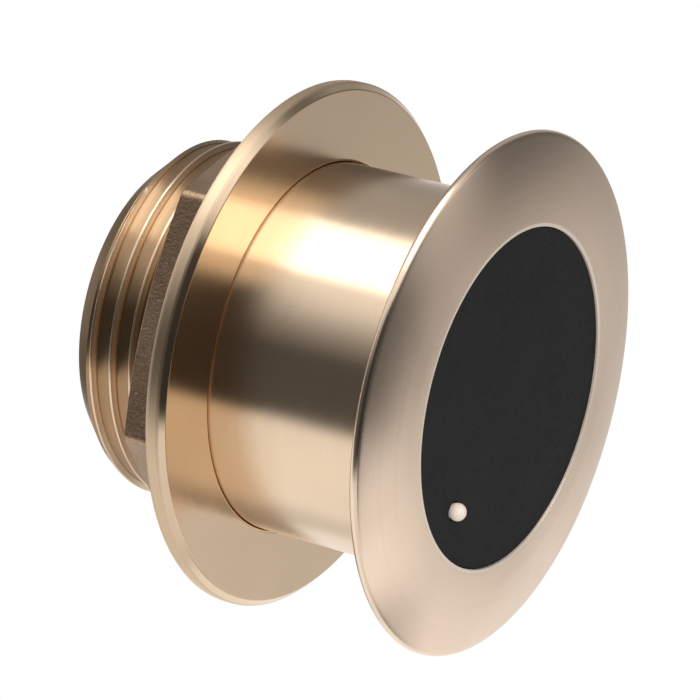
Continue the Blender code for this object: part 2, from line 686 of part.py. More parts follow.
def core_half(open_height, direction):
    """Half a pot core from its open rim towards its closed base; direction is -1 for the lower half."""
    closed_height = open_height + direction * CORE_HALF_HEIGHT
    floor = closed_height - direction * CORE_BASE
    return turned([
        (CORE_HOLE_RADIUS, closed_height),
        (CORE_RADIUS, closed_height),
        (CORE_RADIUS, open_height),
        (CORE_RADIUS - CORE_WALL, open_height),
        (CORE_RADIUS - CORE_WALL, floor),
        (CORE_POST_RADIUS, floor),
        (CORE_POST_RADIUS, open_height),
        (CORE_HOLE_RADIUS, open_height),
    ], SMALL_SIDES)


def make_transformer(materials):
    lower_rim = CORE_BOTTOM + CORE_HALF_HEIGHT
    upper_rim = lower_rim + FIT_GAP
    for name, rim, direction in (("core_lower", lower_rim, -1), ("core_upper", upper_rim, 1)):
        half = add_object(name, core_half(rim, direction), materials["ferrite"])
        slot_height = CORE_HALF_HEIGHT - CORE_BASE
        for side in (-1, 1):
            centre = (side * CORE_RADIUS, 0, rim + direction * (slot_height / 2 - FIT_GAP))
            slot = block((3 * CORE_WALL, CORE_SLOT_WIDTH, slot_height), centre)
            boolean(half, "DIFFERENCE", f"{name}_slot_{side + 1}", slot)

    bottom = CORE_BOTTOM + CORE_BASE + FIT_GAP
    top = CORE_TOP - CORE_BASE - FIT_GAP
    inner = CORE_POST_RADIUS + FIT_GAP
    barrel = inner + BOBBIN_WALL
    outer = CORE_RADIUS - CORE_WALL - FIT_GAP
    bobbin = turned([
        (inner, bottom),
        (outer, bottom),
        (outer, bottom + BOBBIN_WALL),
        (barrel, bottom + BOBBIN_WALL),
        (barrel, top - BOBBIN_WALL),
        (outer, top - BOBBIN_WALL),
        (outer, top),
        (inner, top),
    ], SMALL_SIDES)
    add_object("winding_bobbin", bobbin, materials["bobbin"])

    low = bottom + BOBBIN_WALL + FIT_GAP
    high = top - BOBBIN_WALL - FIT_GAP
    room = outer - barrel
    primary_outer = barrel + FIT_GAP + PRIMARY_SHARE * room
    secondary_inner = primary_outer + FIT_GAP
    secondary_outer = secondary_inner + SECONDARY_SHARE * room
    primary = ring(barrel + FIT_GAP, primary_outer, low, high, SMALL_SIDES)
    secondary = ring(secondary_inner, secondary_outer, low, high, SMALL_SIDES)
    add_object("primary_winding", primary, materials["copper"])
    add_object("secondary_winding", secondary, materials["copper"])


# Rear end

def make_potting_rear(material, element_paths, probe_paths):
    bottom = BOARD_TOP + FIT_GAP
    potting = add_object(
        "potting_rear", disc(REAR_BORE_RADIUS - FIT_GAP, bottom, POTTING_REAR_TOP, SMALL_SIDES), material)
    below = bottom - FIT_GAP
    centre = Vector((0, 0, 0))
    pocket = round_cutter(centre, CORE_RADIUS + FIT_GAP, below, CORE_TOP + FIT_GAP, SMALL_SIDES)
    boolean(potting, "DIFFERENCE", "core_pocket", pocket)
    channel_floor = POTTING_REAR_TOP - CABLE_CHANNEL_DEPTH
    channel = round_cutter(centre, INLET_RADIUS, channel_floor, POTTING_REAR_TOP + FIT_GAP, SMALL_SIDES)
    boolean(potting, "DIFFERENCE", "cable_channel", channel)
    boolean(potting, "DIFFERENCE", "chip_pocket", component(CHIP_SIZE, CHIP_AZIMUTH, FIT_GAP))
    capacitor = component(CAPACITOR_SIZE, CAPACITOR_AZIMUTH, FIT_GAP)
    boolean(potting, "DIFFERENCE", "capacitor_pocket", capacitor)
    ends = [(path[-1], LEAD_RADIUS) for path in element_paths]
    ends += [(path[-1], THERMISTOR_LEAD_RADIUS) for path in probe_paths]
    ends += [(place + Vector((0, 0, BOARD_TOP + PIN_HEIGHT)), PIN_RADIUS) for place in pin_places()]
    for number, (end, radius) in enumerate(ends):
        place = Vector((end.x, end.y, 0))
        hole = round_cutter(place, radius + FIT_GAP, below, end.z + FIT_GAP)
        boolean(potting, "DIFFERENCE", f"potting_end_{number}", hole)


def make_rear_cap(materials):
    radius = REAR_BORE_RADIUS - REAR_CAP_CLEARANCE
    seal_outer = REAR_BORE_RADIUS - FIT_GAP
    groove_floor = seal_outer - SEAL_THICKNESS - FIT_GAP
    seal_height = (CAP_BOTTOM + CAP_FACE) / 2
    groove_half = SEAL_THICKNESS / 2 + FIT_GAP
    grommet_outer = INLET_RADIUS + GROMMET_WALL
    ledge = CAP_TOP - GROMMET_LENGTH - FIT_GAP
    profile = [
        (INLET_RADIUS + FIT_GAP, CAP_BOTTOM),
        (radius, CAP_BOTTOM),
        (radius, seal_height - groove_half),
        (groove_floor, seal_height - groove_half),
        (groove_floor, seal_height + groove_half),
        (radius, seal_height + groove_half),
        (radius, CAP_FACE - REAR_CAP_EDGE),
        (radius - REAR_CAP_EDGE, CAP_FACE),
        (REAR_CAP_BOSS_RADIUS, CAP_FACE),
        (REAR_CAP_BOSS_RADIUS, CAP_TOP - REAR_CAP_EDGE),
        (REAR_CAP_BOSS_RADIUS - REAR_CAP_EDGE, CAP_TOP),
        (grommet_outer + FIT_GAP, CAP_TOP),
        (grommet_outer + FIT_GAP, ledge),
        (INLET_RADIUS + FIT_GAP, ledge),
    ]
    add_object("rear_cap", turned(profile, SMALL_SIDES), materials["black_plastic"])
    seal = arc(seal_outer - SEAL_THICKNESS / 2, seal_height, SEAL_THICKNESS / 2, 0, 360, 6)[:-1]
    add_object("cap_seal", turned(seal, SMALL_SIDES), materials["rubber"])
    grommet = [
        (INLET_RADIUS, ledge + FIT_GAP),
        (grommet_outer, ledge + FIT_GAP),
        (grommet_outer, CAP_TOP - GROMMET_EDGE),
        (grommet_outer - GROMMET_EDGE, CAP_TOP),
        (INLET_RADIUS + GROMMET_EDGE, CAP_TOP),
        (INLET_RADIUS, CAP_TOP - GROMMET_EDGE),
    ]
    add_object("cable_grommet", turned(grommet, SMALL_SIDES), materials["rubber"])


def main():
    clear_scene()
    make_lip_plane()
    bronze = make_material("turned_bronze", (0.60, 0.45, 0.28), 0.28, 1.0)
    cast_bronze = make_material("cast_bronze", (0.27, 0.20, 0.14), 0.55, 0.9)
    materials = {
        "ceramic": make_material("silvered_ceramic", (0.62, 0.61, 0.58), 0.45, 0.3),
        "cork": make_material("cork", (0.45, 0.28, 0.15), 0.9),
        "wire": make_material("wire_insulation", (0.50, 0.05, 0.04), 0.5),
        "board": make_material("circuit_laminate", (0.05, 0.22, 0.10), 0.5),
        "tinned": make_material("tinned_brass", (0.70, 0.68, 0.62), 0.3, 1.0),
        "chip": make_material("chip_plastic", (0.03, 0.03, 0.03), 0.6),
        "capacitor": make_material("capacitor_film", (0.45, 0.16, 0.05), 0.4),
        "ferrite": make_material("ferrite", (0.08, 0.08, 0.09), 0.6),
        "bobbin": make_material("bobbin_nylon", (0.75, 0.72, 0.62), 0.5),
        "copper": make_material("enamelled_copper", (0.60, 0.22, 0.08), 0.35, 0.8),
        "black_plastic": make_material("black_plastic", (0.02, 0.02, 0.02), 0.5),
        "rubber": make_material("rubber", (0.03, 0.03, 0.03), 0.8),
    }
    black_urethane = make_material("black_urethane", (0.024, 0.024, 0.024), 0.45)
    probe_bronze = make_material("probe_bronze", (0.86, 0.74, 0.63), 0.35, 0.6)
    bead_glass = make_material("thermistor_glass", (0.20, 0.05, 0.03), 0.2)
    potting = make_material("potting_epoxy", (0.06, 0.05, 0.04), 0.4)

    make_housing(bronze)
    make_hull_washer(bronze)
    make_hull_nut(cast_bronze)

    axis = make_element_axis()
    make_acoustic_window(black_urethane, axis)
    make_temperature_probe(probe_bronze)

    element_paths = element_lead_paths(axis)
    probe_paths = thermistor_paths()
    make_thermistor(bead_glass, materials["tinned"], probe_paths)
    make_element(materials, axis, element_paths)
    make_potting_front(potting, axis, element_paths)
    make_board(materials, element_paths, probe_paths)
    make_transformer(materials)
    make_potting_rear(potting, element_paths, probe_paths)
    make_rear_cap(materials)


main()
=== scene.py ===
"""Looks of the bronze thru-hull sonar transducer: smooth skins, finishes, a white studio and the camera."""
import json
import math

import bmesh
import bpy
from mathutils import Matrix, Vector


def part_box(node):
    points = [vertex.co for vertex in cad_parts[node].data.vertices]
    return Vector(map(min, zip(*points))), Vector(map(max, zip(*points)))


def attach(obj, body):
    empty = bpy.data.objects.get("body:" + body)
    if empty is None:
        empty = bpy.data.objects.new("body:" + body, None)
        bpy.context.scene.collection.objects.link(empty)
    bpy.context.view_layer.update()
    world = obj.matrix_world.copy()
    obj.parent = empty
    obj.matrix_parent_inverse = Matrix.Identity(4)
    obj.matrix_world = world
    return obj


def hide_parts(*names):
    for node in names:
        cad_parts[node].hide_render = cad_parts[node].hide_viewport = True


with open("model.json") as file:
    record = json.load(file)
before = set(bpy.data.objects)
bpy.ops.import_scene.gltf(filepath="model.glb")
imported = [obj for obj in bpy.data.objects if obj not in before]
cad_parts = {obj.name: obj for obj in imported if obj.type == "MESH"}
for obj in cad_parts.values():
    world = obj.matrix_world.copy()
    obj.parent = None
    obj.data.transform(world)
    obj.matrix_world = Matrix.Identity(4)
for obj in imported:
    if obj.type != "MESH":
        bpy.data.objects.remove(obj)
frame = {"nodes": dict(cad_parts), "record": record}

MM = 0.001

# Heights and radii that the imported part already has
HOUSING_LOW, HOUSING_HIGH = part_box("housing")
WASHER_LOW, WASHER_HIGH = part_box("hull_washer")
NUT_LOW, NUT_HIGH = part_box("hull_nut")
PROBE_LOW, PROBE_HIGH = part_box("temperature_probe")
CAP_LOW, CAP_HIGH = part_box("rear_cap")
GROMMET_LOW, GROMMET_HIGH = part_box("cable_grommet")
LIP = HOUSING_LOW.z
STEM_END = HOUSING_HIGH.z
PROBE_CENTRE = (PROBE_LOW + PROBE_HIGH) / 2
PROBE_CENTRE.z = 0

# How finely round forms are divided
SIDES = 256
SMALL_SIDES = 96
NUT_SIDES = 240
ARC_STEPS = 4
ARC_HOLD = 0.08 * MM
THREAD_ARC_STEPS = 3
DOME_STEPS = 24
RIM_STEPS = 14
CORNER_STEPS = 6
CORNER_STEP_DEGREES = 0.22
CLOSEST_ANGLES = 0.0008
PROBE_STEP_DEGREES = 6

# Softening of edges that several pieces share
FINE_EDGE = 0.1 * MM

# Housing; RIM_SETBACK and BORE_STEP are heights above the lip's plane
FLANGE_RADIUS = 41.84 * MM
RIM_ROUND = 0.8 * MM
RIM_SETBACK = 3.05 * MM
LIP_WIDTH = 0.5 * MM
DOME_START_SLOPE = math.radians(2.5)
STEM_RADIUS = 30.0 * MM
STEM_FILLET = 1.0 * MM
STEM_EDGE = 0.3 * MM
WINDOW_BORE = 27.25 * MM
REAR_BORE = 23.5 * MM
REAR_MOUTH = 0.5 * MM
REAR_MOUTH_EDGE = 0.2 * MM
REAR_END_WIDTH = 1.4 * MM
REAR_EDGE = 0.15 * MM
REAR_CHAMFER_SLOPE = math.tan(math.radians(41.5))
BORE_STEP = 29.0 * MM
BORE_STEP_FILLET = 0.3 * MM
LIP_EDGE = 0.12 * MM
WASHER_MIDDLE = (WASHER_LOW.z + WASHER_HIGH.z) / 2
RELIEF_WIDTH = 1.6 * MM
RELIEF_FILLET = 0.3 * MM

# Thread of the stem and the nut
PITCH = 3.7 * MM
THREAD_RADIUS = 29.3 * MM
THREAD_ROOT = 28.2 * MM
CREST = 0.4 * MM
FLANK = (THREAD_RADIUS - THREAD_ROOT) * math.tan(math.radians(25))
CREST_HEIGHT = LIP + 56.75 * MM
THREAD_CLEARANCE = 0.35 * MM
THREAD_SOFTENING = 0.12 * MM

# Hull washer and hull nut
WASHER_RADIUS = WASHER_HIGH.x
WASHER_BORE = 30.1 * MM
WASHER_BORE_EDGE = 0.4 * MM
WASHER_CHAMFER = 1.1 * MM
WASHER_EDGE = 0.25 * MM
WASHER_BACK_EDGE = 1.0 * MM
NUT_CORNER = 38.9 * MM
NUT_CORNER_ROUND = 1.6 * MM
NUT_FIRST_CORNER = math.radians(-2.4)
NUT_CHAMFER_INSET = 0.6 * MM
NUT_CHAMFER_ANGLE = math.radians(17)
NUT_MOUTH = 0.8 * MM
NUT_EDGE = 0.25 * MM

# Temperature probe: round end, pin, shank and bore
PROBE_END = 1.42 * MM
PROBE_END_CENTRE = PROBE_LOW.z + PROBE_END
PROBE_END_DEGREES = 120
PROBE_PIN = PROBE_END * math.sin(math.radians(PROBE_END_DEGREES))
PROBE_SHANK = 2.0 * MM
PROBE_SHANK_LENGTH = 4.0 * MM
PROBE_BORE = 0.95 * MM
PROBE_BORE_FLOOR = PROBE_LOW.z + 1.4 * MM

# Rear cap, its seal groove and the grommet in its boss
CAP_RADIUS = 23.0 * MM
CAP_GROOVE = 21.5 * MM
CAP_GROOVE_HALF = 1.0 * MM
CAP_GROOVE_EDGE = 0.2 * MM
CAP_BOSS_HEIGHT = 2.0 * MM
CAP_BOSS = 8.0 * MM
CAP_BOSS_FILLET = 0.5 * MM
CAP_EDGE = 0.3 * MM
INLET = 3.8 * MM
GROMMET_OUTER = 5.6 * MM
GROMMET_EDGE = 0.3 * MM
GAP = 0.3 * MM

# Tones of the bronze
GOLD = (0.87, 0.68, 0.49, 1)
PALE_GOLD = (0.94, 0.74, 0.575, 1)
THREAD_GOLD = (0.80, 0.61, 0.43, 1)
# Painted shade: the dark brown that darkens the thread's root
ROOT_SHADE_BROWN = (0.36, 0.22, 0.11, 1)
WASHER_GOLD = (0.83, 0.635, 0.435, 1)
LIP_GOLD = (0.86, 0.74, 0.62, 1)
DULL_GOLD = (0.68, 0.51, 0.37, 1)
CAST_BROWN = (0.39, 0.26, 0.165, 1)
CAST_TAN = (0.46, 0.315, 0.21, 1)
CAST_GRAIN = (0.66, 0.50, 0.37, 1)

# Where the housing's tone changes, each from its start to its end
FLANGE_TONE = (LIP + 6 * MM, LIP + 4 * MM)
LIP_TONE_RADII = (WINDOW_BORE + LIP_WIDTH + 0.1 * MM, WINDOW_BORE + LIP_WIDTH)
LIP_TONE_HEIGHTS = (LIP + 1 * MM, LIP + 0.5 * MM)
THREAD_TONE = (WASHER_MIDDLE, WASHER_MIDDLE + 1 * MM)
# Painted shade in the thread's root, from the radius where it starts to the radius where it is full
ROOT_SHADE_RADII = (THREAD_ROOT + 0.45 * MM, THREAD_ROOT + 0.15 * MM)

# Roughness of the turned bronze; the washer's face gives way to its rim between two heights
STEM_ROUGHNESS = 0.19
LIP_ROUGHNESS = 0.3
THREAD_ROUGHNESS = 0.22
WASHER_FACE_ROUGHNESS = 0.12
WASHER_RIM_ROUGHNESS = 0.45
WASHER_RIM_START = (WASHER_LOW.z + 0.6 * MM, WASHER_LOW.z + 1.1 * MM)

# How metallic the lip is, where bare bronze is 1
LIP_METAL = 0.35

# Rings of the lathe: their detail for each metre, stretched highlight, depth and marks
RING_SCALE = 4000.0
BROAD_RING_SHARE = 0.12
RING_STRETCH = 0.85
RING_STRETCH_TURN = 0.25
RING_DEPTH = 0.02 * MM
STREAK_STAIN = 0.10
BAND_ROUGHNESS = 0.06
PATCH_ROUGHNESS = 0.05

# Patches, spots and grit, as detail for each metre of the surface
PATCH_SCALE = 90.0
SPOT_SCALE = 900.0
GRIT_SCALE = 2200.0
GRIT_RANGE = (0.3, 0.7)

# Plain finishes: light tone, dark tone, roughness, and what differs from a dull surface with a fine grain
PLAIN_FINISHES = {
    "black_urethane": ((0.010, 0.010, 0.010), (0.008, 0.008, 0.008), 0.55, {"gloss": 0.15}),
    "probe_bronze": ((0.93, 0.80, 0.69), (0.90, 0.77, 0.65), 0.55, {}),
    "thermistor_glass": ((0.20, 0.05, 0.03), (0.16, 0.04, 0.02), 0.12, {}),
    "tinned_wire": ((0.70, 0.68, 0.62), (0.60, 0.58, 0.52), 0.30, {"metallic": 1.0}),
    "silvered_ceramic": ((0.62, 0.61, 0.58), (0.52, 0.51, 0.47), 0.45, {"metallic": 0.8}),
    "cork": ((0.45, 0.28, 0.15), (0.28, 0.16, 0.08), 0.85, {"grit": 0.8, "size": 3.0}),
    "wire_insulation": ((0.50, 0.05, 0.04), (0.42, 0.04, 0.03), 0.40, {}),
    "potting_epoxy": ((0.06, 0.05, 0.04), (0.04, 0.035, 0.03), 0.20, {"grit": 0.05}),
    "circuit_laminate": ((0.05, 0.22, 0.10), (0.04, 0.17, 0.08), 0.35, {}),
    "chip_plastic": ((0.03, 0.03, 0.03), (0.02, 0.02, 0.02), 0.55, {}),
    "capacitor_film": ((0.45, 0.16, 0.05), (0.36, 0.12, 0.04), 0.25, {}),
    "ferrite": ((0.08, 0.08, 0.09), (0.05, 0.05, 0.06), 0.70, {"metallic": 0.2}),
    "bobbin_nylon": ((0.75, 0.72, 0.62), (0.68, 0.64, 0.53), 0.50, {}),
    "enamelled_copper": ((0.60, 0.22, 0.08), (0.45, 0.15, 0.05), 0.30, {"metallic": 0.9}),
    "black_plastic": ((0.02, 0.02, 0.02), (0.015, 0.015, 0.015), 0.45, {}),
    "seal_rubber": ((0.03, 0.03, 0.03), (0.022, 0.022, 0.022), 0.75, {}),
}

# Soft boards round the white room, which darken it for the light and the reflections. Each is the azimuth,
# elevation, half width, half height and softness in degrees, and the level of light that the board leaves.
BOARDS = (
    (70, -8, 20, 18, 14, 0.36),
    (95, -26, 9, 9, 8, 0.78),
    (140.5, -31, 23, 8, 5, 0.22),
    (76, -38, 14, 18, 9, 0.42),
    (28, 30, 37, 45, 12, 0.40),
    (38, -28, 26, 16, 10, 0.15),
    (62, -26, 13, 17, 8, 0.10),
    (0, -90, 28, 28, 6, 0.08),
    (88, -70, 8, 19, 4, 0.06),
    (95, 60, 42, 14, 8, 0.04),
    (195, -30, 40, 20, 12, 0.8),
    (149, 31, 8, 14, 6, 0.72),
    (270, 0, 18, 72, 18, 0.20),
    (246, 0, 23, 72, 5, 0.08),
    (261, -38, 31.5, 30, 4, 0.03),
)
WHITE = (1, 1, 1, 1)

# The lamps face this point, near the part's middle
LAMP_AIM = Vector((0, 0, 0.03))

# Floor, a hair below the part, and the distances between which it fades out
FLOOR_RADIUS = 0.9
FLOOR_SIDES = 96
FLOOR_HEIGHT = -0.05 * MM
FLOOR_FADE = (0.25, 0.8)
FLOOR_GREY = (0.97, 0.97, 0.97, 1)

# Camera: place from the lip's plane, the directions of the picture's right side and of view, and the lens
CAMERA_PLACE = Vector((0.00099, -0.56315, -0.28275 + LIP))
CAMERA_RIGHT = Vector((0.25208, 0.46994, -0.84594))
CAMERA_FORWARD = Vector((0, 0.87418, 0.48558))
CAMERA_LENS = 209.34
CAMERA_SENSOR = 36.0


# Shapes

def rounded(corners, steps=ARC_STEPS, hold=ARC_HOLD):
    """Points through corners of (radius, height, rounding).

    Each arc has a short flat piece before and after it, so that the walls beside it stay flat to the light.
    """
    chain = []
    last = len(corners) - 1
    for i, corner in enumerate(corners):
        here = Vector(corner[:2])
        if len(corner) < 3 or i in (0, last):
            chain.append(tuple(here))
            continue
        back = (Vector(corners[i - 1][:2]) - here).normalized()
        ahead = (Vector(corners[i + 1][:2]) - here).normalized()
        half = back.angle(ahead) / 2
        cut = corner[2] / math.tan(half)
        centre = here + (back + ahead).normalized() * (corner[2] / math.sin(half))
        first = (here + back * cut - centre).normalized()
        final = (here + ahead * cut - centre).normalized()
        if hold:
            chain.append(tuple(here + back * (cut + hold)))
        for step in range(steps + 1):
            chain.append(tuple(centre + first.slerp(final, step / steps) * corner[2]))
        if hold:
            chain.append(tuple(here + ahead * (cut + hold)))
    return chain


def around(sides):
    return [2 * math.pi * i / sides for i in range(sides)]


def add_columns(mesh, columns, climb=0):
    """Adds the surface between columns of points set round the axis; climb is the rows gained once round."""
    made = [[mesh.verts.new(point) for point in column] for column in columns]
    for i, column in enumerate(made):
        beside = made[(i + 1) % len(made)]
        rise = climb if i == len(made) - 1 else 0
        for row in range(len(column) - rise - 1):
            mesh.faces.new((column[row], beside[row + rise], beside[row + rise + 1], column[row + 1]))


def spun(chain, angles):
    return [[(r * math.cos(a), r * math.sin(a), z) for r, z in chain] for a in angles]


def thread_form():
    """One pitch of the thread, from the middle of one root to the next, as points of (height, radius)."""
    half_crest = CREST / 2
    corners = [
        (-PITCH / 2, THREAD_ROOT),
        (-half_crest - FLANK, THREAD_ROOT, THREAD_SOFTENING * 2),
        (-half_crest, THREAD_RADIUS, THREAD_SOFTENING),
        (half_crest, THREAD_RADIUS, THREAD_SOFTENING),
        (half_crest + FLANK, THREAD_ROOT, THREAD_SOFTENING * 2),
        (PITCH / 2, THREAD_ROOT),
    ]
    return rounded(corners, steps=THREAD_ARC_STEPS, hold=0)[:-1]


def add_thread(mesh, angles, start, end, grow, limit):
    """Adds the right-handed thread between two heights, where limit(height, radius) shapes both run-outs."""
    form = thread_form()
    first = math.floor((start - CREST_HEIGHT) / PITCH) - 2
    last = math.ceil((end - CREST_HEIGHT) / PITCH) + 2
    columns = []
    for angle in angles:
        column = []
        for turn in range(first, last):
            for offset, radius in form:
                height = CREST_HEIGHT + PITCH * (turn + angle / (2 * math.pi)) + offset
                height = min(max(height, start), end)
                reach = limit(height, radius + grow)
                column.append((reach * math.cos(angle), reach * math.sin(angle), height))
        columns.append(column)
    add_columns(mesh, columns, climb=len(form))


def piece(name, mesh, material, body, node, sharp=35):
    """Welds a mesh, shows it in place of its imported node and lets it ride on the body."""
    bmesh.ops.remove_doubles(mesh, verts=mesh.verts, dist=1e-6)
    bmesh.ops.dissolve_degenerate(mesh, edges=mesh.edges, dist=1e-7)
    bmesh.ops.recalc_face_normals(mesh, faces=mesh.faces)
    data = bpy.data.meshes.new(name)
    mesh.to_mesh(data)
    mesh.free()
    data.shade_smooth()
    data.set_sharp_from_angle(angle=math.radians(sharp))
    data.materials.append(material)
    item = bpy.data.objects.new(name, data)
    bpy.context.scene.collection.objects.link(item)
    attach(item, body)
    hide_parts(node)
    return item


# Skins

def dome_chain():
    """The flange's domed front and rounded rim, from the lip's outer edge to the flange's flat back.

    The dome's slope at the rim is found step by step, so that the dome runs into the rim without a crease.
    """
    start = Vector((WINDOW_BORE + LIP_WIDTH, 0))
    rim = Vector((FLANGE_RADIUS - RIM_ROUND, RIM_SETBACK))
    slope = DOME_START_SLOPE
    for _ in range(30):
        end = rim + RIM_ROUND * Vector((math.sin(slope), -math.cos(slope)))
        chord = end - start
        slope = 2 * math.atan2(chord.y, chord.x) - DOME_START_SLOPE
    radius = chord.length / (2 * math.sin((slope - DOME_START_SLOPE) / 2))
    centre = start + radius * Vector((-math.sin(DOME_START_SLOPE), math.cos(DOME_START_SLOPE)))
    chain = []
    for step in range(DOME_STEPS):
        angle = DOME_START_SLOPE + (slope - DOME_START_SLOPE) * step / DOME_STEPS
        chain.append((centre.x + radius * math.sin(angle), centre.y - radius * math.cos(angle)))
    for step in range(RIM_STEPS + 1):
        angle = slope + (math.pi - slope) * step / RIM_STEPS
        chain.append((rim.x + RIM_ROUND * math.sin(angle), rim.y - RIM_ROUND * math.cos(angle)))
    chain.append((rim.x - RIM_ROUND / 4, rim.y + RIM_ROUND))
    return [(r, z + LIP) for r, z in chain]


def make_housing(material):
    """The turned housing: bores, lip, domed flange and stem in one turned form, and the thread."""
    angles = around(SIDES)
    thread_start = WASHER_MIDDLE + RELIEF_WIDTH
    end_radius = REAR_BORE + REAR_END_WIDTH
    thread_end = STEM_END - (THREAD_ROOT - end_radius) / REAR_CHAMFER_SLOPE
    back = LIP + RIM_SETBACK + RIM_ROUND
    rear = rounded([
        (THREAD_ROOT, thread_end),
        (end_radius, STEM_END, REAR_EDGE),
        (REAR_BORE + REAR_MOUTH, STEM_END, FINE_EDGE),
        (REAR_BORE, STEM_END - REAR_MOUTH, REAR_MOUTH_EDGE),
        (REAR_BORE, LIP + BORE_STEP, FINE_EDGE),
        (WINDOW_BORE, LIP + BORE_STEP, BORE_STEP_FILLET),
        (WINDOW_BORE, LIP, LIP_EDGE),
        (WINDOW_BORE + LIP_WIDTH, LIP),
    ])
    stem = rounded([
        (FLANGE_RADIUS - RIM_ROUND, back),
        (STEM_RADIUS, back, STEM_FILLET),
        (STEM_RADIUS, WASHER_MIDDLE, STEM_EDGE),
        (THREAD_ROOT, WASHER_MIDDLE, RELIEF_FILLET),
        (THREAD_ROOT, thread_start),
    ])
    mesh = bmesh.new()
    add_columns(mesh, spun(rear[:-1] + dome_chain() + stem[1:], angles))

    def run_out(height, radius):
        rise = min(height - thread_start, (thread_end - height) * REAR_CHAMFER_SLOPE)
        return min(radius, THREAD_ROOT + rise)

    add_thread(mesh, angles, thread_start, thread_end, 0, run_out)
    return piece("housing_skin", mesh, material, "housing_body", "housing")


def make_washer(material):
    """The turned washer, chamfered towards the hull and rounded at its back."""
    corners = [
        (WASHER_BORE, WASHER_MIDDLE),
        (WASHER_BORE, WASHER_LOW.z, WASHER_BORE_EDGE),
        (WASHER_RADIUS - WASHER_CHAMFER, WASHER_LOW.z, WASHER_EDGE),
        (WASHER_RADIUS, WASHER_LOW.z + WASHER_CHAMFER, WASHER_EDGE),
        (WASHER_RADIUS, WASHER_HIGH.z, WASHER_BACK_EDGE),
        (WASHER_BORE, WASHER_HIGH.z, WASHER_EDGE),
        (WASHER_BORE, WASHER_MIDDLE),
    ]
    mesh = bmesh.new()
    add_columns(mesh, spun(rounded(corners), around(SIDES)))
    return piece("hull_washer_skin", mesh, material, "washer_body", "hull_washer")


def hexagon_reach(angle):
    """How far the nut's outline lies from the axis at this angle."""
    sixth = math.pi / 3
    from_corner = abs((angle - NUT_FIRST_CORNER + sixth / 2) % sixth - sixth / 2)
    centre = NUT_CORNER - NUT_CORNER_ROUND / math.sin(sixth)
    touch = math.atan2(NUT_CORNER_ROUND / 2, centre + NUT_CORNER_ROUND * math.cos(sixth / 2))
    if from_corner < touch:
        across = centre * math.sin(from_corner)
        return centre * math.cos(from_corner) + math.sqrt(NUT_CORNER_ROUND ** 2 - across ** 2)
    return NUT_CORNER * math.cos(sixth / 2) / math.cos(sixth / 2 - from_corner)


def nut_angles():
    """Even steps, with close ones round each corner."""
    angles = set(around(NUT_SIDES))
    for corner in range(6):
        middle = NUT_FIRST_CORNER + corner * math.pi / 3
        for step in range(-CORNER_STEPS, CORNER_STEPS + 1):
            angles.add((middle + math.radians(step * CORNER_STEP_DEGREES)) % (2 * math.pi))
    kept = []
    for angle in sorted(angles):
        if not kept or angle - kept[-1] > CLOSEST_ANGLES:
            kept.append(angle)
    return kept


def make_nut(material):
    """The cast nut, with its far corners turned back to a shallow cone, and its tapped thread."""
    low = NUT_LOW.z
    top = NUT_HIGH.z
    crown = NUT_CORNER * math.cos(math.pi / 6) - NUT_CHAMFER_INSET
    mouth = THREAD_RADIUS + THREAD_CLEARANCE + NUT_MOUTH
    angles = nut_angles()
    columns = []
    for angle in angles:
        reach = hexagon_reach(angle)
        shoulder = top - (reach - crown) * math.tan(NUT_CHAMFER_ANGLE)
        chain = rounded([
            (mouth, low),
            (reach, low, NUT_EDGE),
            (reach, shoulder, NUT_EDGE),
            (crown, top, NUT_EDGE),
            (mouth, top),
        ])
        columns += spun(chain, [angle])
    mesh = bmesh.new()
    add_columns(mesh, columns)

    def flare(height, radius):
        return max(radius, mouth - min(height - low, top - height))

    add_thread(mesh, angles, low, top, THREAD_CLEARANCE, flare)
    return piece("hull_nut_skin", mesh, material, "nut_body", "hull_nut", sharp=40)


def make_probe(material):
    """The probe's pin, whose ball end stands a little proud of the black face."""
    tip = []
    for degrees in range(0, PROBE_END_DEGREES + 1, PROBE_STEP_DEGREES):
        a = math.radians(degrees)
        tip.append((PROBE_END * math.sin(a), PROBE_END_CENTRE - PROBE_END * math.cos(a)))
    shoulder = PROBE_HIGH.z - PROBE_SHANK_LENGTH
    chain = tip[:-1] + rounded([
        tip[-1],
        (PROBE_PIN, shoulder),
        (PROBE_SHANK, shoulder, FINE_EDGE),
        (PROBE_SHANK, PROBE_HIGH.z, FINE_EDGE),
        (PROBE_BORE, PROBE_HIGH.z, FINE_EDGE),
        (PROBE_BORE, PROBE_BORE_FLOOR, FINE_EDGE),
        (0, PROBE_BORE_FLOOR),
    ])
    mesh = bmesh.new()
    add_columns(mesh, spun(chain, around(SMALL_SIDES)))
    bmesh.ops.translate(mesh, vec=PROBE_CENTRE, verts=mesh.verts)
    return piece(
        "temperature_probe_skin", mesh, material, "housing_body", "temperature_probe")


